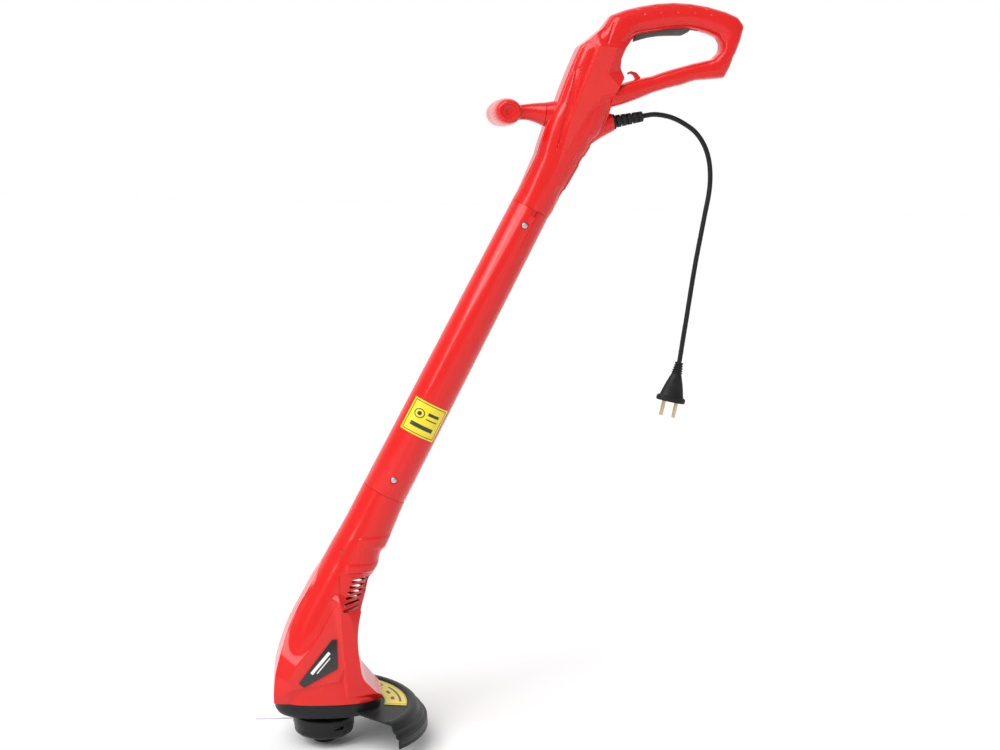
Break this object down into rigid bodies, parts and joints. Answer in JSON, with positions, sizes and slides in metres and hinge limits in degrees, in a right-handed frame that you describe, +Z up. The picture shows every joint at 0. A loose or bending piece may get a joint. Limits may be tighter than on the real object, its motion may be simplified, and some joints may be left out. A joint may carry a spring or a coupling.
{
  "type": "string trimmer",
  "caption": "Corded electric string trimmer with a straight tube, closed rear grip with trigger, small front grip, skirted guard and bump-feed line head.",
  "frame": {"origin": "on the ground under the middle of the tap button, on the cutting head's axis", "axes": "+Z up, +X from the cutting head back towards the user and the guard, +Y the user's right"},
  "size_m": [0.5779, 0.2066, 0.9085],
  "materials": {
    "red_gloss_plastic": "gloss",
    "black_plastic": "satin",
    "grey_plastic": "matte",
    "black_rubber": "matte",
    "yellow_label": "satin",
    "bright_steel": "bright",
    "plug_pin_metal": "satin",
    "lamination_steel": "matte",
    "copper": "satin",
    "carbon": "matte",
    "nylon_line": "satin",
    "capacitor_case": "satin"
  },
  "bodies": {
    "machine": {"head_shell_left": "red_gloss_plastic", "head_shell_right": "red_gloss_plastic", "badge_left": "black_plastic", "badge_right": "black_plastic", "guard": "black_plastic", "guard_label": "yellow_label", "guard_screw_left": "bright_steel", "guard_screw_right": "bright_steel", "line_cutter": "bright_steel", "head_screw_front": "bright_steel", "head_screw_rear": "bright_steel", "head_screw_neck": "bright_steel", "lower_bearing": "bright_steel", "lower_bracket": "grey_plastic", "stator_core": "lamination_steel", "field_winding": "copper", "upper_bearing": "bright_steel", "upper_bracket": "grey_plastic", "brush_left": "carbon", "brush_right": "carbon", "brush_holder_left": "grey_plastic", "brush_holder_right": "grey_plastic", "shaft_tube": "red_gloss_plastic", "noise_label": "yellow_label", "inner_lead": "black_rubber", "tube_screw_lower": "bright_steel", "tube_screw_upper": "bright_steel", "handle_shell_left": "red_gloss_plastic", "handle_shell_right": "red_gloss_plastic", "handle_screw_low": "bright_steel", "handle_screw_front": "bright_steel", "handle_screw_rear": "bright_steel", "handle_screw_bottom": "bright_steel", "trigger_pin": "bright_steel", "trigger_spring": "bright_steel", "switch_body": "black_plastic", "suppression_capacitor": "capacitor_case", "front_grip": "red_gloss_plastic", "cord_gland": "black_rubber", "power_cord": "black_rubber", "plug_body": "black_rubber", "plug_pin_front": "plug_pin_metal", "plug_pin_rear": "plug_pin_metal"},
    "rotor": {"motor_shaft": "bright_steel", "armature_core": "lamination_steel", "commutator": "copper", "fan": "black_plastic", "drive_hub": "black_plastic", "spool_housing": "black_plastic", "spool_cover": "black_plastic", "line_eyelet": "bright_steel", "cutting_line": "nylon_line", "feed_spring": "bright_steel"},
    "feed_button": {"tap_button": "black_plastic"},
    "spool": {"line_spool": "grey_plastic", "wound_line": "nylon_line"},
    "trigger_lever": {"trigger": "grey_plastic"},
    "plunger": {"switch_plunger": "grey_plastic"}
  },
  "joints": [
    {"name": "cutting_head_spin", "type": "hinge", "parent": "machine", "child": "rotor", "pos_m": [0, 0, 0.05], "axis": [0, 0, 1], "continuous": true},
    {"name": "tap_button_press", "type": "slide", "parent": "rotor", "child": "feed_button", "axis": [0, 0, 1], "range_m": [0, 0.004], "stiffness_N_per_m": 500, "deforming": ["feed_spring"]},
    {"name": "spool_index", "type": "hinge", "parent": "feed_button", "child": "spool", "pos_m": [0, 0, 0.024], "axis": [0, 0, 1], "continuous": true},
    {"name": "trigger_pull", "type": "hinge", "parent": "machine", "child": "trigger_lever", "pos_m": [0.4309, 0, 0.8865], "axis": [0, 1, 0], "range_deg": [0, 6], "stiffness_Nm_per_rad": 1, "deforming": ["trigger_spring"]},
    {"name": "switch_press", "type": "slide", "parent": "machine", "child": "plunger", "axis": [0, 0, 1], "range_m": [0, 0.0034]}
  ],
  "couplings": [
    {"joint": "switch_press", "follows": "trigger_pull", "m_per_rad": 0.03}
  ]
}
